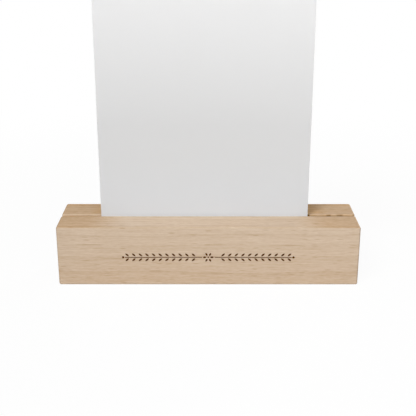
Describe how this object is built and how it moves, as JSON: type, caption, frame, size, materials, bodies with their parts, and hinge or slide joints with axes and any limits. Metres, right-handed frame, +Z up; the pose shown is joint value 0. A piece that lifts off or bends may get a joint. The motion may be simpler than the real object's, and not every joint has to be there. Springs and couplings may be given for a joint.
{
  "type": "wooden photo block holder",
  "caption": "Solid beech block with a full-length saw slot in its top that holds a stiff photo card upright, and a leaf border engraved across its front.",
  "frame": {"origin": "centre of the block's underside, which is also the bottom centre of the whole object's box", "axes": "+Z up along the upright card, +X to the right along the block and its slot, +Y from the engraved front to the back"},
  "size_m": [0.15, 0.035, 0.167],
  "materials": {
    "beech": "fine sanded and left almost raw, with hardly any shine, ambered by daylight on its top and back",
    "card": "matt, uncoated"
  },
  "bodies": {
    "block": {"holder_block": "beech"},
    "card": {"photo_card": "card"}
  },
  "joints": [
    {"name": "card_lift", "type": "slide", "parent": "block", "child": "card", "axis": [0, 0, 1], "range_m": [0, 0.03]}
  ]
}
